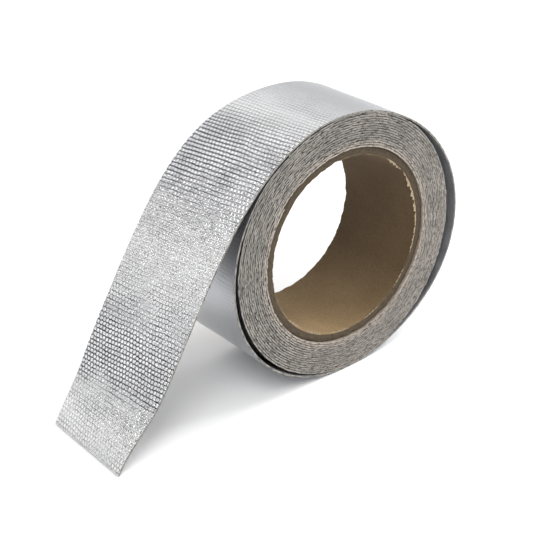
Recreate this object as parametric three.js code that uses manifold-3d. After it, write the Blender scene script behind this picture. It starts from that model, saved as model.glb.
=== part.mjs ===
// A roll of foil-faced glass-cloth tape on a card core, lying on its rim with the
// loose end of the tape hanging down to the floor. Millimetres, +Z up, the roll's
// axis along Y, the loose end towards -X.
import * as THREE from 'three';
import { mergeVertices } from 'three/addons/utils/BufferGeometryUtils.js';
import Module from 'manifold-3d';

const wasm = await Module();
wasm.setup();

// stock sizes
const tapeWidth = 50;
const coreBore = 83;           // inside diameter of the card tube
const coreWall = 3.8;
const coreInset = 1.0;         // how far the tube ends sit inside the tape's ends
const seatClearance = 0.3;     // card tube to the first turn
const turnPitch = 1.0;
const turns = 15;
const turnGroove = 0.35;       // depth of the groove between turns on an end
const tapeThickness = 0.8;

// how the outermost turn lies: it peels off the roll, hangs slack at the left and
// the right, and is laid on the roll again at the top (angles in degrees from +X)
const peelAngle = 122;
const peelSpan = 14;           // over which its full thickness comes clear
const layAngle = 452;
const rightSlack = { width: 5.4, at: 352, before: 66, after: 80 };
const leftSlack = { width: 2.0, at: 200, before: 72, after: 78 };
const touching = 0.12;         // slack below which the turn is joined to the roll
const sink = 0.35;             // how far laid tape is joined into the turns below it

// how the end of the tape hangs, from the roll's axis
const leaveAngle = 84;
const leavePull = 54.9;        // how long the end keeps the direction it leaves in
const kneeReach = 105.7;       // where it starts to flare towards the tip
const kneeDrop = 34.8;
const kneePull = 67.9;
const kneeSlope = 32;          // degrees from upright
const tipSlope = 30;
const tailReach = 126;
const tailLean = 3.8;          // the edges' shift in x, front to the right, back to the left
const leanSpan = 40;           // over which the lean comes in at the top
const tipSpan = 26;            // and goes again towards the tip

const coreRadius = coreBore / 2;
const seatRadius = coreRadius + coreWall + seatClearance;
const coilRadius = seatRadius + turns * turnPitch;
const laidRadius = coilRadius + tapeThickness;
const half = tapeWidth / 2;
const around = 64;
const rad = THREE.MathUtils.degToRad;

// a slack that is widest at its angle and falls to nothing on each side
function swell(angle, { width, at, before, after }) {
  const t = (angle - at) / (angle < at ? before : after);
  return Math.abs(t) >= 1 ? 0 : width * Math.cos((t * Math.PI) / 2) ** 2;
}

function solid(geometry) {
  for (const name of ['normal', 'uv']) geometry.deleteAttribute(name);
  const joined = mergeVertices(geometry, 1e-4);
  return new wasm.Manifold(new wasm.Mesh({
    numProp: 3,
    vertProperties: joined.getAttribute('position').array,
    triVerts: new Uint32Array(joined.index.array),
  }));
}

function toGeometry(body) {
  const mesh = body.getMesh();
  const geometry = new THREE.BufferGeometry();
  geometry.setAttribute('position', new THREE.BufferAttribute(mesh.vertProperties, mesh.numProp));
  geometry.setIndex([...mesh.triVerts]);
  geometry.computeVertexNormals();
  return geometry;
}

// an outline in x and z carried across the tape's width
function across(outline) {
  const geometry = new THREE.ExtrudeGeometry(new THREE.Shape(outline), {
    depth: tapeWidth, bevelEnabled: false, steps: 1,
  });
  geometry.rotateX(Math.PI / 2);
  geometry.translate(0, half, 0);
  return geometry;
}

// the card tube
function cardTube() {
  const y = half - coreInset;
  const outer = coreRadius + coreWall;
  const profile = [
    new THREE.Vector2(coreRadius, -y),
    new THREE.Vector2(outer, -y),
    new THREE.Vector2(outer, y),
    new THREE.Vector2(coreRadius, y),
    new THREE.Vector2(coreRadius, -y),
  ];
  return new THREE.LatheGeometry(profile, around);
}

// the tight turns, with a groove between each turn and the next on both ends
function tightTurns() {
  const edge = [];
  for (let i = 0; i <= turns; i += 1) {
    const r = seatRadius + i * turnPitch;
    edge.push([r, half - turnGroove]);
    if (i < turns) edge.push([r + turnPitch / 2, half]);
  }
  const profile = [
    ...edge.map(([r, y]) => new THREE.Vector2(r, -y)),
    ...edge.reverse().map(([r, y]) => new THREE.Vector2(r, y)),
  ];
  profile.push(profile[0].clone());
  return new THREE.LatheGeometry(profile, around);
}

// the outermost turn: it peels off at the upper left, runs under the roll and up
// the right side, and lies on the roll again at the top
function looseTurn() {
  const steps = 110;
  const outer = [];
  const inner = [];
  for (let i = 0; i <= steps; i += 1) {
    const angle = THREE.MathUtils.lerp(peelAngle, layAngle, i / steps);
    const slack = swell(angle, rightSlack) + swell(angle, leftSlack);
    const clear = THREE.MathUtils.smoothstep(angle, peelAngle, peelAngle + peelSpan);
    const r = coilRadius + clear * tapeThickness + slack;
    const low = Math.min(coilRadius + slack - (slack < touching ? sink : 0), r - seatClearance);
    const a = rad(angle);
    outer.push(new THREE.Vector2(r * Math.cos(a), r * Math.sin(a)));
    inner.push(new THREE.Vector2(low * Math.cos(a), low * Math.sin(a)));
  }
  return across([...outer, ...inner.reverse()]);
}

// the end of the tape: over the top of the roll, away to the left and down
function looseEnd() {
  const leave = rad(leaveAngle);
  const start = new THREE.Vector2(Math.cos(leave), Math.sin(leave)).multiplyScalar(laidRadius);
  const along = new THREE.Vector2(-Math.sin(leave), Math.cos(leave));
  const down = (slope) => new THREE.Vector2(-Math.sin(rad(slope)), -Math.cos(rad(slope)));
  const knee = new THREE.Vector2(-kneeReach, -kneeDrop);
  const tip = new THREE.Vector2(-tailReach, -laidRadius + tapeThickness / 2);
  const first = new THREE.CubicBezierCurve(
    start, start.clone().addScaledVector(along, leavePull),
    knee.clone().addScaledVector(down(kneeSlope), -kneePull), knee);
  const third = knee.distanceTo(tip) / 3;
  const second = new THREE.CubicBezierCurve(
    knee, knee.clone().addScaledVector(down(kneeSlope), third),
    tip.clone().addScaledVector(down(tipSlope), -third), tip);
  const outer = [...first.getPoints(44), ...second.getPoints(8).slice(1)];
  const inner = outer.map((p, i) => {
    const a = outer[Math.max(i - 1, 0)];
    const b = outer[Math.min(i + 1, outer.length - 1)];
    const t = b.clone().sub(a).normalize();
    return new THREE.Vector2(p.x - t.y * tapeThickness, p.y + t.x * tapeThickness);
  });
  // the laid part is carried back over the top and joined into the turn below
  const low = coilRadius - sink;
  for (let i = 1; i <= 4; i += 1) {
    const a = leave - rad(i * 3);
    const r = laidRadius - i * 0.05;
    outer.unshift(new THREE.Vector2(r * Math.cos(a), r * Math.sin(a)));
    inner.unshift(new THREE.Vector2(low * Math.cos(a), low * Math.sin(a)));
  }
  const geometry = across([...outer, ...inner.reverse()]);
  const position = geometry.getAttribute('position');
  for (let i = 0; i < position.count; i += 1) {
    const x = position.getX(i);
    const comes = 1 - THREE.MathUtils.smoothstep(x, start.x - leanSpan, start.x);
    const stays = THREE.MathUtils.smoothstep(x, tip.x, tip.x + tipSpan);
    position.setX(i, x - tailLean * comes * stays * (position.getY(i) / half));
  }
  return geometry;
}

const tape = solid(tightTurns()).add(solid(looseTurn())).add(solid(looseEnd()));
const core = solid(cardTube());

// stand the roll on the floor, with the middle of its box over the origin
const box = tape.boundingBox();
const shift = [-(box.min[0] + box.max[0]) / 2, -(box.min[1] + box.max[1]) / 2, -box.min[2]];

const parts = new THREE.Group();
parts.name = 'foil_tape_roll';
for (const [name, body, look] of [
  ['tape', tape, { color: 0xb9bbbd, metalness: 0.8, roughness: 0.4 }],
  ['core_tube', core, { color: 0x8a6f52, metalness: 0, roughness: 0.9 }],
]) {
  const mesh = new THREE.Mesh(
    toGeometry(body.translate(shift)), new THREE.MeshStandardMaterial(look));
  mesh.name = name;
  parts.add(mesh);
}

export default parts;
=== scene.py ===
"""A roll of foil-faced glass-cloth tape on a card core, its loose end hanging to the floor."""
import math

import bpy
import numpy as np
from mathutils import Matrix, Vector


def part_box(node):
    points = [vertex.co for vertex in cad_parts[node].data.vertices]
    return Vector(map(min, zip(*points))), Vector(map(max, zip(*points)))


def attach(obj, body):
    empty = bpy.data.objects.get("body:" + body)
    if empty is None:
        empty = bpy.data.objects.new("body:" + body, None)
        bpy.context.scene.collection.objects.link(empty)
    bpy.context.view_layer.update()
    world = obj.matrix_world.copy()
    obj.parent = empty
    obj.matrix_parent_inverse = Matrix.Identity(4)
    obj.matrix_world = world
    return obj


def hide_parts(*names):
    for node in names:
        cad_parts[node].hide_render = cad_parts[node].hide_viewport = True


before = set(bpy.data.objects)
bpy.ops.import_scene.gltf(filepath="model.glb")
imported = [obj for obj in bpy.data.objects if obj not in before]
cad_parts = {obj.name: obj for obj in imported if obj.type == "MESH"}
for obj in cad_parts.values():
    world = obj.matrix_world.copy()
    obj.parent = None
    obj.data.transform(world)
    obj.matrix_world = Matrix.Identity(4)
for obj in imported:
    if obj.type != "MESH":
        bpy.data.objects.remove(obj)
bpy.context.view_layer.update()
bpy.ops.object.select_all(action="DESELECT")

# sizes in metres, as the solids have them; SEAT, COIL and LAID are radii
MM = 0.001
CORE_LOW, CORE_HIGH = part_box("core_tube")
AXIS_X = (CORE_LOW[0] + CORE_HIGH[0]) / 2
AXIS_Z = (CORE_LOW[2] + CORE_HIGH[2]) / 2
TAPE_WIDTH = 50 * MM
TAPE_THICK = 0.8 * MM
BORE_RADIUS = 41.5 * MM
CORE_WALL = 3.8 * MM
CORE_INSET = 1.0 * MM
SEAT_CLEARANCE = 0.3 * MM
TURN_PITCH = 1.0 * MM
TURNS = 15
SEAT = BORE_RADIUS + CORE_WALL + SEAT_CLEARANCE
COIL = SEAT + TURNS * TURN_PITCH
LAID = COIL + TAPE_THICK
HALF = TAPE_WIDTH / 2

# how the outer turn lies, in degrees from +X: where it peels off the roll and over what span,
# where the end leaves, and each slack's middle, reach before and after it, and width
PEEL_ANGLE = 122
PEEL_SPAN = 14
LEAVE_ANGLE = 84 + 360
RIGHT_SLACK = (352, 66, 80, 5.4 * MM)
LEFT_SLACK = (200, 72, 78, 2.0 * MM)

# how the end hangs, from the roll's axis: slopes are in degrees from upright, and it starts to
# hang past a share of the strip's length
LEAVE_PULL = 54.9 * MM
KNEE_REACH = 105.7 * MM
KNEE_DROP = 34.8 * MM
KNEE_PULL = 67.9 * MM
KNEE_SLOPE = 32
TIP_SLOPE = 30
TIP_HEIGHT = 0.45 * MM
TAIL_REACH = 126 * MM
TAIL_LEAN = 3.8 * MM
LEAN_SPAN = 40 * MM
TIP_SPAN = 26 * MM
HANGING_SHARE = 0.66

# the tight turns: how many, over how many degrees each steps up where the tape began, and the
# room left to the card
WOUND_TURNS = 14.95
STEP_SPAN = 30
SNUG = 0.08 * MM

# the camera, fitted to the photo: direction, reach and lens about the roll's axis
CAMERA_AZIMUTH = math.radians(-38.83)
CAMERA_ELEVATION = math.radians(26.65)
CAMERA_REACH = 564.25 * MM
CAMERA_TARGET = Vector((-21.24, 0, -16.82)) * MM
CAMERA_TURN = math.radians(2.5)
CAMERA_LENS = 82.6


def activate(piece):
    bpy.ops.object.select_all(action="DESELECT")
    piece.select_set(True)
    bpy.context.view_layer.objects.active = piece


def apply_modifiers(piece):
    activate(piece)
    for modifier in list(piece.modifiers):
        bpy.ops.object.modifier_apply(modifier=modifier.name)


def place_done(piece):
    activate(piece)
    bpy.ops.object.transform_apply(location=True, rotation=True, scale=True)


# camera
def add_camera():
    a, e = CAMERA_AZIMUTH, CAMERA_ELEVATION
    back = Vector((math.sin(a) * math.cos(e), -math.cos(a) * math.cos(e), math.sin(e)))
    right = Vector((math.cos(a), math.sin(a), 0))
    up = back.cross(right)
    turn = Matrix.Rotation(CAMERA_TURN, 3, "Y")
    place = turn @ (CAMERA_TARGET + back * CAMERA_REACH) + Vector((AXIS_X, 0, AXIS_Z))
    right, up, back = turn @ right, turn @ up, turn @ back
    data = bpy.data.cameras.new("camera")
    data.lens = CAMERA_LENS
    data.sensor_width = 36
    data.clip_start = 0.01
    camera = bpy.data.objects.new("camera", data)
    bpy.context.scene.collection.objects.link(camera)
    turned = Matrix((right, up, back)).transposed().to_4x4()
    turned.translation = place
    camera.matrix_world = turned
    bpy.context.scene.camera = camera


add_camera()


# node helpers
class Nodes:
    """Adds nodes to one tree and joins their sockets."""

    def __init__(self, tree):
        self.tree = tree

    def add(self, kind, inputs=None, **settings):
        node = self.tree.nodes.new(kind)
        for name, value in settings.items():
            setattr(node, name, value)
        for name, value in (inputs or {}).items():
            self.put(node.inputs[name], value)
        return node

    def put(self, socket, value):
        if isinstance(value, bpy.types.NodeSocket):
            self.tree.links.new(value, socket)
        else:
            socket.default_value = value

    def math(self, operation, *values, clamp=False):
        node = self.add("ShaderNodeMath", operation=operation, use_clamp=clamp)
        for socket, value in zip(node.inputs, values):
            self.put(socket, value)
        return node.outputs[0]

    def mix(self, factor, a, b, blend="MIX"):
        node = self.add("ShaderNodeMix", data_type="RGBA", blend_type=blend)
        self.put(node.inputs[0], factor)
        self.put(node.inputs[6], a)
        self.put(node.inputs[7], b)
        return node.outputs[2]

    def ramp(self, factor, *stops):
        node = self.add("ShaderNodeValToRGB", {"Fac": factor})
        elements = node.color_ramp.elements
        while len(elements) < len(stops):
            elements.new(0.5)
        for element, (place, value) in zip(elements, stops):
            element.position = place
            element.color = value if len(value) == 4 else (*value, 1)
        return node.outputs["Color"]

    def noise(self, vector, scale, detail=3, rough=0.6, distortion=0.0):
        return self.add("ShaderNodeTexNoise", {
            "Vector": vector, "Scale": scale, "Detail": detail,
            "Roughness": rough, "Distortion": distortion}).outputs["Fac"]

    def mapped(self, vector, scale):
        return self.add("ShaderNodeMapping", {"Vector": vector, "Scale": scale}).outputs["Vector"]


def new_material(name):
    material = bpy.data.materials.new(name)
    material.use_nodes = True
    material.node_tree.nodes.clear()
    nodes = Nodes(material.node_tree)
    output = nodes.add("ShaderNodeOutputMaterial")
    shader = nodes.add("ShaderNodeBsdfPrincipled")
    nodes.put(output.inputs["Surface"], shader.outputs["BSDF"])
    return material, nodes, shader


def new_group(name, inputs, outputs):
    tree = bpy.data.node_groups.new(name, "ShaderNodeTree")
    for label, kind, value in inputs:
        socket = tree.interface.new_socket(label, in_out="INPUT", socket_type=kind)
        if value is not None:
            socket.default_value = value
    for label, kind in outputs:
        tree.interface.new_socket(label, in_out="OUTPUT", socket_type=kind)
    nodes = Nodes(tree)
    return tree, nodes, nodes.add("NodeGroupInput"), nodes.add("NodeGroupOutput")


# plain weave under the foil: rows across the tape, each a line of short humps
def weave_group():
    tree, nodes, given, out = new_group(
        "woven_relief",
        [("Place", "NodeSocketVector", None), ("Row Pitch", "NodeSocketFloat", 1.9),
         ("Hump Pitch", "NodeSocketFloat", 1.9)],
        [("Height", "NodeSocketFloat"), ("Weave", "NodeSocketFloat")])
    place = given.outputs["Place"]
    wander = nodes.noise(place, 0.06, 3, 0.5)
    fine = nodes.noise(place, 0.9, 3, 0.65)
    split = nodes.add("ShaderNodeSeparateXYZ", {"Vector": place})

    def drifted(coordinate, drift, jitter):
        moved = nodes.math("MULTIPLY_ADD", wander, drift, coordinate)
        return nodes.math("MULTIPLY_ADD", fine, jitter, moved)

    row = nodes.math("DIVIDE", drifted(split.outputs["X"], 2.2, 1.0), given.outputs["Row Pitch"])
    stagger = nodes.math("MULTIPLY", nodes.math("FLOOR", row), 0.5)
    hump = nodes.math("DIVIDE", drifted(split.outputs["Y"], 1.5, 0.6), given.outputs["Hump Pitch"])
    hump = nodes.math("ADD", hump, stagger)

    def arch(value):
        return nodes.math("ABSOLUTE", nodes.math("SINE", nodes.math("MULTIPLY", value, math.pi)))

    ridge = nodes.math("MULTIPLY", arch(row), 1.5, clamp=True)
    crown = nodes.math("MULTIPLY", arch(hump), 1.45, clamp=True)
    weave = nodes.math("MULTIPLY", ridge, nodes.math("MULTIPLY_ADD", crown, 0.86, 0.14))
    crease_noise = nodes.noise(nodes.mapped(place, (0.8, 0.5, 1)), 0.55, 5, 0.65, 0.5)
    crease = nodes.math("ABSOLUTE", nodes.math("SUBTRACT", crease_noise, 0.5))
    crease = nodes.math("SUBTRACT", 1.0, nodes.math("MULTIPLY", crease, 12.0), clamp=True)
    height = nodes.math("MULTIPLY_ADD", crease, 0.25, weave)
    height = nodes.math("MULTIPLY_ADD", fine, 0.5, height)
    nodes.put(out.inputs["Height"], height)
    nodes.put(out.inputs["Weave"], weave)
    return tree


# fine fibres and specks, for cut cloth and card
def fibre_group():
    tree, nodes, given, out = new_group(
        "fibres",
        [("Place", "NodeSocketVector", None), ("Fineness", "NodeSocketFloat", 1.0)],
        [("Strands", "NodeSocketFloat"), ("Specks", "NodeSocketFloat")])
    scaled = nodes.add("ShaderNodeVectorMath", operation="SCALE")
    nodes.put(scaled.inputs[0], given.outputs["Place"])
    nodes.put(scaled.inputs["Scale"], given.outputs["Fineness"])
    place = scaled.outputs[0]
    nodes.put(out.inputs["Strands"], nodes.noise(nodes.mapped(place, (1, 1, 0.25)), 1.6, 6, 0.75, 1.2))
    nodes.put(out.inputs["Specks"], nodes.noise(place, 2.4, 5, 0.8))
    return tree


WEAVE = weave_group()
FIBRES = fibre_group()


def flat_place(nodes, length):
    """Millimetres along and across the flat tape, from its own map."""
    uv = nodes.add("ShaderNodeUVMap", uv_map="UVMap").outputs["UV"]
    return nodes.mapped(uv, (length / MM, TAPE_WIDTH / MM, 1))


def body_place(nodes):
    """Millimetres in the object's own frame."""
    place = nodes.add("ShaderNodeTexCoord").outputs["Object"]
    return nodes.mapped(place, (1 / MM, 1 / MM, 1 / MM))


# the foil carries painted dark bands in two stretches, standing in for dark reflections, and painted
# highlights in three, given by their distance from the tip and their reach, and is nearly smooth from the
# top of the roll inwards, in millimetres
DARK_BAND_LOW = (42, 17)
DARK_BAND_HIGH = (136, 26)
HIGHLIGHT_TIP = (10, 20)
HIGHLIGHT_MIDDLE = (92, 32)
HIGHLIGHT_TOP = (168, 20)
SMOOTH_FROM = 195
SMOOTH_SPAN = 45
WANDER = 24
# the high painted dark band reaches from the back edge to this far across the tape, and fades over this
DARK_BAND_ACROSS = 38
DARK_BAND_FADE = 30

DULL_FOIL = (0.56, 0.565, 0.575)
CLEAR_FOIL = (0.78, 0.782, 0.79)
# tones of the painted highlights and the painted dark bands, and of the smooth satin foil
HIGHLIGHT_FOIL = (1.0, 1.0, 1.0, 1)
DARK_BAND_FOIL = (0.5, 0.505, 0.52, 1)
SATIN_FOIL = (0.45, 0.46, 0.482, 1)
# tones of the painted shade in the weave's grooves
GROOVE_SHADE = (0.02, 0.022, 0.03)
DEEP_GROOVE_SHADE = (0.012, 0.014, 0.022)
FOIL_BUMP = 0.3 * MM


def foil_stretches(nodes, place, length, patches):
    """How strong the painted dark bands and the painted highlights are, and how embossed the foil is, at
    each place.
    """
    split = nodes.add("ShaderNodeSeparateXYZ", {"Vector": place})
    from_tip = nodes.math("SUBTRACT", length / MM, split.outputs["X"])
    wandering = nodes.math("MULTIPLY_ADD", patches, WANDER, from_tip)

    def stretch(at, reach):
        off = nodes.math("ABSOLUTE", nodes.math("SUBTRACT", wandering, at + WANDER / 2))
        return nodes.math("SUBTRACT", 1.0, nodes.math("DIVIDE", off, reach), clamp=True)

    # painted dark bands, the high one only towards the back edge
    to_back = nodes.math("DIVIDE", nodes.math(
        "SUBTRACT", DARK_BAND_ACROSS, split.outputs["Y"]), DARK_BAND_FADE, clamp=True)
    low = nodes.math("MULTIPLY", stretch(*DARK_BAND_LOW), nodes.math("MULTIPLY_ADD", to_back, 0.6, 0.5))
    dark_band = nodes.math("MAXIMUM", low, nodes.math("MULTIPLY", stretch(*DARK_BAND_HIGH), to_back))
    # painted highlights in three stretches, none where a dark band is painted; the weave's relief is also
    # flatter there
    painted_highlight = nodes.math("MAXIMUM", stretch(*HIGHLIGHT_TIP), nodes.math(
        "MAXIMUM", stretch(*HIGHLIGHT_MIDDLE), stretch(*HIGHLIGHT_TOP)))
    painted_highlight = nodes.math("MULTIPLY", painted_highlight, nodes.math("SUBTRACT", 1.0, dark_band))
    embossed = nodes.add("ShaderNodeMapRange", {
        "Value": from_tip, "From Min": SMOOTH_FROM, "From Max": SMOOTH_FROM - SMOOTH_SPAN,
        "To Min": 0.16, "To Max": 1.0}).outputs["Result"]
    return dark_band, painted_highlight, embossed


# foil pressed onto woven cloth, with painted highlights, painted dark bands, and painted shade and sheen
# over the weave
def foil_material(length):
    material, nodes, shader = new_material("foil_on_cloth")
    place = flat_place(nodes, length)
    weave = nodes.add("ShaderNodeGroup", {"Place": place}, node_tree=WEAVE)
    clouds = nodes.noise(place, 0.05, 4, 0.6)
    patches = nodes.noise(nodes.mapped(place, (0.06, 0.035, 1)), 1.0, 3, 0.55)
    specks = nodes.noise(place, 1.1, 4, 0.8)
    runs = nodes.noise(nodes.mapped(place, (0.55, 0.11, 1)), 1.0, 3, 0.6)
    dark_band, painted_highlight, embossed = foil_stretches(nodes, place, length, patches)

    # how strongly the painted shade in the grooves and the painted sheen on the humps show: by patches, by
    # runs along the rows, stronger in the painted dark bands and weaker in the painted highlights
    depth = nodes.add("ShaderNodeMapRange", {
        "Value": patches, "From Min": 0.36, "From Max": 0.6,
        "To Min": 0.3, "To Max": 0.95}).outputs["Result"]
    depth = nodes.math("MULTIPLY", depth, nodes.math("MULTIPLY_ADD", runs, 2.6, -0.35), clamp=True)
    depth = nodes.math("ADD", depth, nodes.math("MULTIPLY", dark_band, 1.1), clamp=True)
    depth = nodes.math("MULTIPLY", depth, nodes.math("MULTIPLY_ADD", painted_highlight, -0.6, 1.0))
    depth = nodes.math("MULTIPLY", depth, embossed)

    face = nodes.ramp(clouds, (0.3, DULL_FOIL), (0.62, CLEAR_FOIL))
    # painted highlights whiten the foil, and painted dark bands grey it
    face = nodes.mix(nodes.math("MULTIPLY", painted_highlight, 0.95), face, HIGHLIGHT_FOIL)
    face = nodes.mix(nodes.math("MULTIPLY", dark_band, 0.3), face, DARK_BAND_FOIL)
    face = nodes.mix(embossed, SATIN_FOIL, face)
    # painted shade in the weave's grooves and painted sheen on its humps, darker and wider in the painted
    # dark bands
    narrow = nodes.ramp(weave.outputs["Weave"], (0.18, GROOVE_SHADE), (0.7, (1.15, 1.15, 1.15)))
    wide = nodes.ramp(weave.outputs["Weave"], (0.26, DEEP_GROOVE_SHADE), (0.86, (1.4, 1.4, 1.4)))
    groove_shade_and_sheen = nodes.mix(nodes.math("MULTIPLY", dark_band, 1.6, clamp=True), narrow, wide)
    colour = nodes.mix(depth, face, nodes.mix(1.0, face, groove_shade_and_sheen, "MULTIPLY"))
    dark = nodes.ramp(specks, (0.34, (0.12, 0.12, 0.13)), (0.43, (1, 1, 1)))
    speckled = nodes.math("MULTIPLY", embossed, nodes.math("MULTIPLY_ADD", painted_highlight, -0.3, 0.7))
    colour = nodes.mix(speckled, colour, nodes.mix(1.0, colour, dark, "MULTIPLY"))
    nodes.put(shader.inputs["Base Color"], colour)
    shader.inputs["Metallic"].default_value = 1.0
    nodes.put(shader.inputs["Roughness"], nodes.math(
        "MULTIPLY_ADD", embossed, -0.16, nodes.math("MULTIPLY_ADD", clouds, 0.14, 0.26)))
    bump = nodes.add("ShaderNodeBump", {
        "Height": nodes.math("MULTIPLY", weave.outputs["Height"], nodes.math(
            "MULTIPLY", embossed, nodes.math("MULTIPLY_ADD", painted_highlight, -0.35, 1.0))),
        "Strength": 1.0, "Distance": FOIL_BUMP})
    nodes.put(shader.inputs["Normal"], bump.outputs["Normal"])
    return material


# dark and pale tones of the tape's inner side, and of the wound turns', seen where they meet the card
BACKING_TONES = ((0.11, 0.112, 0.12), (0.2, 0.2, 0.21))
LINING_TONES = ((0.22, 0.18, 0.145), (0.34, 0.28, 0.23))


# the smooth inner side of the tape
def backing_material(name, length, dark, pale):
    material, nodes, shader = new_material(name)
    place = flat_place(nodes, length)
    clouds = nodes.noise(place, 0.08, 4, 0.6)
    grain = nodes.noise(place, 1.4, 4, 0.6)
    colour = nodes.ramp(clouds, (0.3, dark), (0.7, pale))
    nodes.put(shader.inputs["Base Color"], colour)
    nodes.put(shader.inputs["Roughness"], nodes.math("MULTIPLY_ADD", clouds, 0.25, 0.38))
    bump = nodes.add("ShaderNodeBump", {"Height": grain, "Strength": 0.3, "Distance": 0.12 * MM})
    nodes.put(shader.inputs["Normal"], bump.outputs["Normal"])
    return material


def round_place(nodes):
    """Millimetres out from the roll's axis, round it, and along it."""
    split = nodes.add("ShaderNodeSeparateXYZ", {"Vector": body_place(nodes)})
    x = nodes.math("SUBTRACT", split.outputs["X"], AXIS_X / MM)
    z = nodes.math("SUBTRACT", split.outputs["Z"], AXIS_Z / MM)
    out = nodes.math("SQRT", nodes.math("ADD", nodes.math("MULTIPLY", x, x), nodes.math("MULTIPLY", z, z)))
    turned = nodes.math("MULTIPLY", nodes.math("ARCTAN2", z, x), SEAT / MM)
    place = nodes.add("ShaderNodeCombineXYZ", {"X": out, "Y": turned, "Z": split.outputs["Y"]})
    return place.outputs["Vector"], out


# the first turns are paler and warmer, fading out between these radii in millimetres
WARM_TURNS = (46.3, 49.5)


# cut glass cloth at the tape's edges, its strands running with the turns
def cut_edge_material():
    material, nodes, shader = new_material("cut_glass_cloth")
    place, out = round_place(nodes)
    strands = nodes.noise(nodes.mapped(place, (2.6, 0.35, 0.8)), 1.0, 5, 0.7, 0.6)
    specks = nodes.noise(nodes.mapped(place, (1.5, 0.55, 1.0)), 1.0, 4, 0.75, 0.3)
    clouds = nodes.noise(place, 0.11, 3, 0.55)
    grey = nodes.ramp(clouds, (0.35, (0.25, 0.238, 0.218)), (0.65, (0.335, 0.313, 0.285)))
    near_core = nodes.add("ShaderNodeMapRange", {
        "Value": out, "From Min": WARM_TURNS[0], "From Max": WARM_TURNS[1], "To Min": 0.85, "To Max": 0.0})
    tone = nodes.mix(near_core.outputs["Result"], grey, (0.44, 0.39, 0.34, 1))
    light = nodes.ramp(strands, (0.34, (0.42, 0.41, 0.4)), (0.5, (1, 1, 1)), (0.68, (1.35, 1.33, 1.3)))
    colour = nodes.mix(0.9, tone, nodes.mix(1.0, tone, light, "MULTIPLY"))
    dark = nodes.ramp(specks, (0.4, (0.06, 0.056, 0.05)), (0.49, (1, 1, 1)))
    colour = nodes.mix(0.85, colour, nodes.mix(1.0, colour, dark, "MULTIPLY"))
    nodes.put(shader.inputs["Base Color"], colour)
    shader.inputs["Roughness"].default_value = 0.85
    bump = nodes.add("ShaderNodeBump", {"Height": strands, "Strength": 0.9, "Distance": 0.5 * MM})
    nodes.put(shader.inputs["Normal"], bump.outputs["Normal"])
    return material


CUT_EDGE = cut_edge_material()

# where the painted shade on the card starts and is full, in millimetres to the right of the roll's axis
SHADE_FROM = -8
SHADE_TO = 34


# brown card of the core, darkened on its right side by painted shade, and darker where its layers are cut,
# partly the cut plies and partly painted shade of the recessed end
def card_material():
    material, nodes, shader = new_material("kraft_card")
    place, out = round_place(nodes)
    fibres = nodes.add("ShaderNodeGroup", {"Place": body_place(nodes), "Fineness": 0.6}, node_tree=FIBRES)
    bands = nodes.noise(nodes.mapped(place, (0.05, 0.05, 0.05)), 1.0, 3, 0.5)
    base = nodes.ramp(bands, (0.3, (0.255, 0.172, 0.083)), (0.7, (0.3, 0.208, 0.108)))
    strands = nodes.ramp(fibres.outputs["Strands"], (0.25, (0.72, 0.7, 0.66)), (0.7, (1.1, 1.09, 1.06)))
    wall = nodes.mix(0.6, base, nodes.mix(1.0, base, strands, "MULTIPLY"))
    specks = nodes.ramp(
        fibres.outputs["Specks"], (0.36, (0.62, 0.6, 0.55)), (0.5, (1, 1, 1)), (0.66, (1.3, 1.28, 1.2)))
    wall = nodes.mix(0.7, wall, nodes.mix(1.0, wall, specks, "MULTIPLY"))
    # painted shade: the card is darker towards its right side
    side = nodes.add("ShaderNodeSeparateXYZ", {"Vector": body_place(nodes)}).outputs["X"]
    right_side_shade = nodes.add("ShaderNodeMapRange", {
        "Value": side, "From Min": AXIS_X / MM + SHADE_FROM, "From Max": AXIS_X / MM + SHADE_TO})
    wall = nodes.mix(right_side_shade.outputs["Result"], wall, nodes.mix(1.0, wall, (0.33, 0.3, 0.26, 1), "MULTIPLY"))
    plies = nodes.noise(nodes.mapped(place, (2.2, 0.3, 1.0)), 1.0, 5, 0.7, 0.4)
    # the cut ends: dark cut plies, darkened further as painted shade of the recessed end
    cut_end_and_shade = nodes.ramp(plies, (0.3, (0.028, 0.019, 0.01)), (0.7, (0.1, 0.07, 0.037)))
    inside = nodes.add("ShaderNodeMapRange", {
        "Value": out, "From Min": BORE_RADIUS / MM + 0.1, "From Max": BORE_RADIUS / MM + 0.5})
    nodes.put(shader.inputs["Base Color"], nodes.mix(inside.outputs["Result"], wall, cut_end_and_shade))
    shader.inputs["Roughness"].default_value = 0.82
    height = nodes.math("MULTIPLY_ADD", plies, inside.outputs["Result"], fibres.outputs["Strands"])
    bump = nodes.add("ShaderNodeBump", {"Height": height, "Strength": 0.5, "Distance": 0.25 * MM})
    nodes.put(shader.inputs["Normal"], bump.outputs["Normal"])
    return material


def floor_material():
    material, nodes, shader = new_material("pale_floor")
    place = body_place(nodes)
    nodes.put(shader.inputs["Base Color"], nodes.ramp(
        nodes.noise(place, 0.01, 2), (0.3, (0.93, 0.93, 0.93)), (0.7, (0.95, 0.95, 0.95))))
    shader.inputs["Roughness"].default_value = 0.7
    return material


# the tape's path
def swell(angle, middle, below, above, height):
    t = (angle - middle) / (below if angle < middle else above)
    return 0 if abs(t) >= 1 else height * math.cos(t * math.pi / 2) ** 2


def ease(value, start, end):
    t = min(max((value - start) / (end - start), 0), 1)
    return t * t * (3 - 2 * t)


def bezier(a, b, c, d, count):
    t = np.linspace(0, 1, count)[:, None]
    return (1 - t) ** 3 * a + 3 * (1 - t) ** 2 * t * b + 3 * (1 - t) * t * t * c + t ** 3 * d


def slope_way(degrees):
    """The way down to the left at a slope from upright."""
    return np.array([-math.sin(math.radians(degrees)), -math.cos(math.radians(degrees))])


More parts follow.
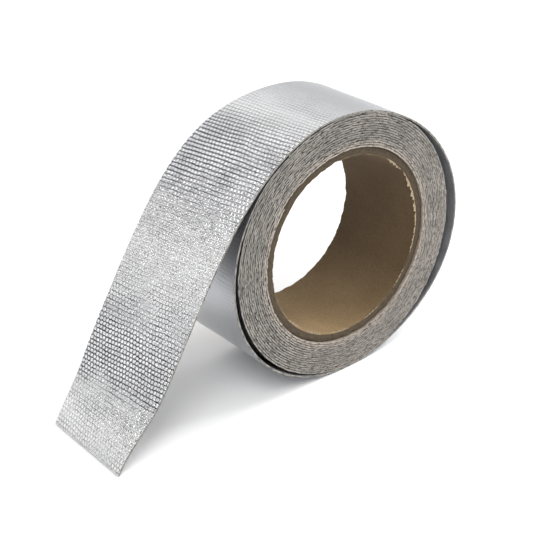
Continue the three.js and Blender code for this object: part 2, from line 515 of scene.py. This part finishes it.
def loose_path():
    """Middle line of the outer turn and the hanging end, about the roll's axis."""
    points = []
    for angle in np.arange(PEEL_ANGLE, LEAVE_ANGLE + 0.01, 2):
        slack = swell(angle, *RIGHT_SLACK) + swell(angle, *LEFT_SLACK)
        r = COIL - TAPE_THICK / 2 + TAPE_THICK * ease(angle, PEEL_ANGLE, PEEL_ANGLE + PEEL_SPAN) + slack
        points.append((r * math.cos(math.radians(angle)), r * math.sin(math.radians(angle))))
    leave = math.radians(LEAVE_ANGLE)
    middle_line = LAID - TAPE_THICK / 2
    start = middle_line * np.array([math.cos(leave), math.sin(leave)])
    along = np.array([-math.sin(leave), math.cos(leave)])
    knee_way = slope_way(KNEE_SLOPE)
    to_middle = TAPE_THICK / 2 * np.array([-knee_way[1], knee_way[0]])
    knee = np.array([-KNEE_REACH, -KNEE_DROP]) + to_middle
    tip = np.array([-TAIL_REACH, -LAID + TIP_HEIGHT]) + to_middle
    third = np.linalg.norm(tip - knee) * 0.33
    points += [tuple(p) for p in bezier(
        start, start + along * LEAVE_PULL, knee - knee_way * KNEE_PULL, knee, 50)[1:]]
    points += [tuple(p) for p in bezier(
        knee, knee + knee_way * third, tip - slope_way(TIP_SLOPE) * third, tip, 12)[1:]]
    return points


def wound_path():
    """Middle line of the tight turns, each laid round the last and stepping up where the tape began."""
    first = BORE_RADIUS + CORE_WALL + SNUG + TAPE_THICK / 2
    last = COIL - TAPE_THICK / 2
    total = WOUND_TURNS * 360
    pitch = (last - first) / int(WOUND_TURNS)
    points = []
    for turned in np.arange(0, total + 0.01, 3):
        whole, part = divmod(turned, 360)
        r = first + pitch * (whole + ease(part, 360 - STEP_SPAN, 360))
        a = math.radians(PEEL_ANGLE - total + turned)
        points.append((r * math.cos(a), r * math.sin(a)))
    return points


def path_length(points):
    steps = np.diff(np.array(points), axis=0)
    return float(np.hypot(steps[:, 0], steps[:, 1]).sum())


def path_curve(name, points):
    data = bpy.data.curves.new(name, "CURVE")
    data.dimensions = "3D"
    data.twist_mode = "Z_UP"
    line = data.splines.new("POLY")
    line.points.add(len(points) - 1)
    for point, (x, z) in zip(line.points, points):
        point.co = (x, z, 0, 1)
    curve = bpy.data.objects.new(name, data)
    bpy.context.scene.collection.objects.link(curve)
    return curve


def flat_tape(name, length, along, rows):
    """A flat strip standing on its long edge, x along it, z across it."""
    bpy.ops.object.select_all(action="DESELECT")
    bpy.ops.mesh.primitive_grid_add(x_subdivisions=along, y_subdivisions=len(rows) - 1, size=1)
    piece = bpy.context.active_object
    piece.name = name
    mesh = piece.data
    for vertex in mesh.vertices:
        x, y, _ = vertex.co
        row = round((y + 0.5) * (len(rows) - 1))
        vertex.co = ((x + 0.5) * length, 0, rows[row])
    uv = mesh.uv_layers[0]
    uv.name = "UVMap"
    for loop in mesh.loops:
        co = mesh.vertices[loop.vertex_index].co
        uv.data[loop.index].uv = (co.x / length, co.z / TAPE_WIDTH + 0.5)
    return piece


def clouds_texture(name, size, depth):
    made = bpy.data.textures.new(name, "CLOUDS")
    made.noise_scale = size
    made.noise_depth = depth
    return made


def displace(piece, name, made, strength, direction, group=None, middle=0.5):
    modifier = piece.modifiers.new(name, "DISPLACE")
    modifier.texture = made
    modifier.texture_coords = "LOCAL"
    modifier.strength = strength
    modifier.direction = direction
    modifier.mid_level = middle
    if group:
        modifier.vertex_group = group


def wind(piece, curve):
    """Lays the flat strip along its path and stands the whole upright on the roll's axis."""
    solid = piece.modifiers.new("thickness", "SOLIDIFY")
    solid.thickness = TAPE_THICK
    solid.offset = 0
    solid.use_even_offset = False
    solid.material_offset = 1
    solid.material_offset_rim = 2
    bend = piece.modifiers.new("path", "CURVE")
    bend.object = curve
    bend.deform_axis = "POS_X"
    apply_modifiers(piece)
    bpy.data.objects.remove(curve)
    piece.rotation_euler = (math.pi / 2, 0, 0)
    piece.location = (AXIS_X, 0, AXIS_Z)
    place_done(piece)
    bpy.ops.object.shade_smooth_by_angle(angle=math.radians(50))


# how finely the two strips are divided, and how much shorter than its path each is
LOOSE_STEPS = 640
LOOSE_ROWS = 60
WOUND_STEPS = 4200
END_ROOM = 0.2 * MM


def build_loose_tape():
    points = loose_path()
    length = path_length(points)
    rows = list(np.linspace(-HALF, HALF, LOOSE_ROWS))
    piece = flat_tape("loose_turn_and_end", length - END_ROOM, LOOSE_STEPS, rows)
    buckles = clouds_texture("buckles", 35 * MM, 1)
    displace(piece, "buckles", buckles, 0.5 * MM, "Y")
    backing = backing_material("tape_backing", length, *BACKING_TONES)
    for made in (foil_material(length), backing, CUT_EDGE):
        piece.data.materials.append(made)
    wind(piece, path_curve("loose_path", points))
    lean_end(piece)
    return piece


def lean_end(piece):
    """Shifts the hanging end's front edge to the right and its back edge to the left."""
    start = LAID * math.cos(math.radians(LEAVE_ANGLE))
    uv = piece.data.uv_layers["UVMap"].data
    hanging = set()
    for loop in piece.data.loops:
        if uv[loop.index].uv.x > HANGING_SHARE:
            hanging.add(loop.vertex_index)
    for index in hanging:
        place = piece.data.vertices[index].co
        x = place.x - AXIS_X
        comes = 1 - ease(x, start - LEAN_SPAN, start)
        stays = ease(x, -TAIL_REACH, -TAIL_REACH + TIP_SPAN)
        place.x -= TAIL_LEAN * comes * stays * place.y / HALF


# rows of the wound strip, from each edge in millimetres, and how far in it is frayed
EDGE_ROWS = (0, 0.35, 0.9, 3.0)
BORDER = 1.0 * MM


def build_wound_tape():
    points = wound_path()
    length = path_length(points)
    rows = [-HALF + d * MM for d in EDGE_ROWS] + [HALF - d * MM for d in reversed(EDGE_ROWS)]
    piece = flat_tape("wound_turns", length - END_ROOM, WOUND_STEPS, rows)
    border = piece.vertex_groups.new(name="border")
    near_edge = [v.index for v in piece.data.vertices if abs(v.co.z) > HALF - BORDER]
    border.add(near_edge, 1.0, "REPLACE")
    fray = clouds_texture("fray", 2.2 * MM, 3)
    displace(piece, "fray", fray, 1.0 * MM, "Z", "border", 0.62)
    sway = clouds_texture("sway", 4 * MM, 2)
    displace(piece, "sway", sway, 0.34 * MM, "Y", "border")
    lining = backing_material("first_turn_lining", length, *LINING_TONES)
    for made in (foil_material(length), lining, CUT_EDGE):
        piece.data.materials.append(made)
    wind(piece, path_curve("wound_path", points))
    return piece


# rings of edges in the card tube, from each end in millimetres, and how far in its rims are rough
RIM_RINGS = (1.3, 2.6, 8)
ROUGH_RIM = 0.7 * MM


def build_core():
    """The card tube, with softened and roughened rims."""
    bpy.ops.object.select_all(action="DESELECT")
    bpy.ops.mesh.primitive_circle_add(vertices=480, radius=BORE_RADIUS, fill_type="NOTHING")
    piece = bpy.context.active_object
    piece.name = "card_tube"
    tall = TAPE_WIDTH - 2 * CORE_INSET
    bpy.ops.object.mode_set(mode="EDIT")
    bpy.ops.mesh.select_all(action="SELECT")
    bpy.ops.transform.translate(value=(0, 0, -tall / 2))
    bpy.ops.mesh.extrude_edges_move(TRANSFORM_OT_translate={"value": (0, 0, tall)})
    scale = (BORE_RADIUS + CORE_WALL) / BORE_RADIUS
    bpy.ops.mesh.extrude_edges_move()
    bpy.ops.transform.resize(value=(scale, scale, 1))
    bpy.ops.mesh.extrude_edges_move(TRANSFORM_OT_translate={"value": (0, 0, -tall)})
    bpy.ops.mesh.extrude_edges_move()
    bpy.ops.transform.resize(value=(1 / scale, 1 / scale, 1))
    bpy.ops.mesh.select_all(action="SELECT")
    bpy.ops.mesh.remove_doubles(threshold=1e-6)
    bpy.ops.mesh.normals_make_consistent(inside=False)
    for depth in RIM_RINGS:
        for side in (-1, 1):
            bpy.ops.mesh.select_all(action="SELECT")
            bpy.ops.mesh.bisect(plane_co=(0, 0, side * (tall / 2 - depth * MM)), plane_no=(0, 0, 1))
    bpy.ops.object.mode_set(mode="OBJECT")
    bevel = piece.modifiers.new("soft_rim", "BEVEL")
    bevel.width = 0.45 * MM
    bevel.segments = 3
    bevel.limit_method = "ANGLE"
    apply_modifiers(piece)
    rims = piece.vertex_groups.new(name="rims")
    at_rim = [v.index for v in piece.data.vertices if abs(v.co.z) > tall / 2 - ROUGH_RIM]
    rims.add(at_rim, 1.0, "REPLACE")
    rough = clouds_texture("rough_rim", 3.5 * MM, 4)
    displace(piece, "rough_rim", rough, 1.1 * MM, "NORMAL", "rims", 0.5)
    apply_modifiers(piece)
    piece.rotation_euler = (math.pi / 2, 0, 0)
    piece.location = (AXIS_X, 0, AXIS_Z)
    place_done(piece)
    bpy.ops.object.shade_smooth_by_angle(angle=math.radians(40))
    piece.data.materials.append(card_material())
    return piece


# curls of torn card round the bore: angle and spread in degrees, height in millimetres
TORN_PLACES = ((16, 42, 3.2), (-12, 26, 2.2), (48, 16, 1.9), (-40, 16, 1.4), (222, 16, 1.8),
               (240, 16, 2.2), (262, 18, 1.7), (290, 14, 1.2))
TORN_THICK = 0.18 * MM


def build_torn_card():
    """Thin ragged curls of torn card along the front rim of the bore."""
    curls = []
    for middle, spread, height in TORN_PLACES:
        bpy.ops.object.select_all(action="DESELECT")
        bpy.ops.mesh.primitive_grid_add(x_subdivisions=48, y_subdivisions=5, size=1)
        curl = bpy.context.active_object
        for vertex in curl.data.vertices:
            along, up = vertex.co.x * 2, vertex.co.y + 0.5
            a = math.radians(middle + along * spread / 2)
            ragged = 0.55 + 0.45 * math.sin(along * 9 + middle) * math.cos(along * 23 + 2 * middle)
            tall = height * MM * up * ragged * (1 - along ** 4)
            r = BORE_RADIUS + 0.5 * MM - tall * 0.8
            y = -HALF + CORE_INSET + 0.1 * MM - tall * 0.3 - 0.2 * MM * up * (1 - up)
            vertex.co = (AXIS_X + r * math.cos(a), y, AXIS_Z + r * math.sin(a))
        solid = curl.modifiers.new("thickness", "SOLIDIFY")
        solid.thickness = TORN_THICK
        apply_modifiers(curl)
        curls.append(curl)
    activate(curls[0])
    for curl in curls:
        curl.select_set(True)
    bpy.ops.object.join()
    torn = bpy.context.active_object
    torn.name = "torn_card"
    bpy.ops.object.mode_set(mode="EDIT")
    bpy.ops.mesh.select_all(action="SELECT")
    bpy.ops.mesh.normals_make_consistent(inside=False)
    bpy.ops.object.mode_set(mode="OBJECT")
    place_done(torn)
    bpy.ops.object.shade_smooth_by_angle(angle=math.radians(40))
    torn.data.materials.append(torn_material())
    return torn


def torn_material():
    material, nodes, shader = new_material("torn_card_fibres")
    fibres = nodes.add("ShaderNodeGroup", {"Place": body_place(nodes), "Fineness": 1.4}, node_tree=FIBRES)
    nodes.put(shader.inputs["Base Color"], nodes.ramp(
        fibres.outputs["Strands"], (0.3, (0.2, 0.15, 0.09)), (0.65, (0.46, 0.37, 0.24))))
    shader.inputs["Roughness"].default_value = 0.9
    bump = nodes.add("ShaderNodeBump", {
        "Height": fibres.outputs["Strands"], "Strength": 0.7, "Distance": 0.2 * MM})
    nodes.put(shader.inputs["Normal"], bump.outputs["Normal"])
    return material


loose_tape = build_loose_tape()
wound_tape = build_wound_tape()
core = build_core()
torn_card = build_torn_card()

for piece in (loose_tape, wound_tape):
    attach(piece, "root")
    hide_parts("tape")
for piece in (core, torn_card):
    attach(piece, "root")
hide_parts("core_tube")


# floor and light
def add_floor():
    bpy.ops.object.select_all(action="DESELECT")
    bpy.ops.mesh.primitive_plane_add(size=6)
    floor = bpy.context.active_object
    floor.name = "floor"
    floor.data.materials.append(floor_material())


def add_light(name, place, size, power):
    data = bpy.data.lights.new(name, "AREA")
    data.shape = "RECTANGLE"
    data.size, data.size_y = size
    data.energy = power
    light = bpy.data.objects.new(name, data)
    light.location = place
    aim = Vector((0, 0, 0.06)) - Vector(place)
    light.rotation_euler = aim.to_track_quat("-Z", "Y").to_euler()
    bpy.context.scene.collection.objects.link(light)


def add_world():
    """Pale surroundings, with a dim band and dim flecks on the left that the foil mirrors."""
    world = bpy.data.worlds.new("studio")
    bpy.context.scene.world = world
    world.use_nodes = True
    nodes = Nodes(world.node_tree)
    background = world.node_tree.nodes["Background"]
    way = nodes.add("ShaderNodeTexCoord").outputs["Generated"]
    split = nodes.add("ShaderNodeSeparateXYZ", {"Vector": way})
    band = nodes.ramp(split.outputs["Z"], (0.0, (0, 0, 0)), (0.36, (0, 0, 0)), (0.42, (1, 1, 1)),
                      (0.7, (1, 1, 1)), (0.78, (0, 0, 0)))
    left = nodes.add("ShaderNodeMapRange", {
        "Value": split.outputs["X"], "From Min": -0.15, "From Max": -0.3})
    flecks = nodes.ramp(nodes.noise(way, 5.0, 2, 0.5), (0.44, (0, 0, 0)), (0.54, (1, 1, 1)))
    tall = nodes.ramp(split.outputs["Z"], (0.0, (0, 0, 0)), (0.2, (0, 0, 0)), (0.34, (0.85, 0.85, 0.85)),
                      (0.9, (0.85, 0.85, 0.85)), (1.0, (0, 0, 0)))
    band = nodes.math("MAXIMUM", nodes.math("MULTIPLY", band, nodes.math(
        "MULTIPLY_ADD", flecks, 0.5, 0.5)), nodes.math("MULTIPLY", tall, flecks))
    dim = nodes.math("MULTIPLY", band, left.outputs["Result"])
    nodes.put(background.inputs["Color"], nodes.mix(dim, (1, 1, 1, 1), (0, 0, 0, 1)))
    background.inputs["Strength"].default_value = 1.0


add_floor()
add_world()
add_light("key", (-0.5, -0.5, 0.9), (0.5, 0.5), 6)
add_light("right", (0.9, -0.2, 0.7), (0.5, 0.8), 8)
bpy.context.scene.view_settings.view_transform = "Standard"
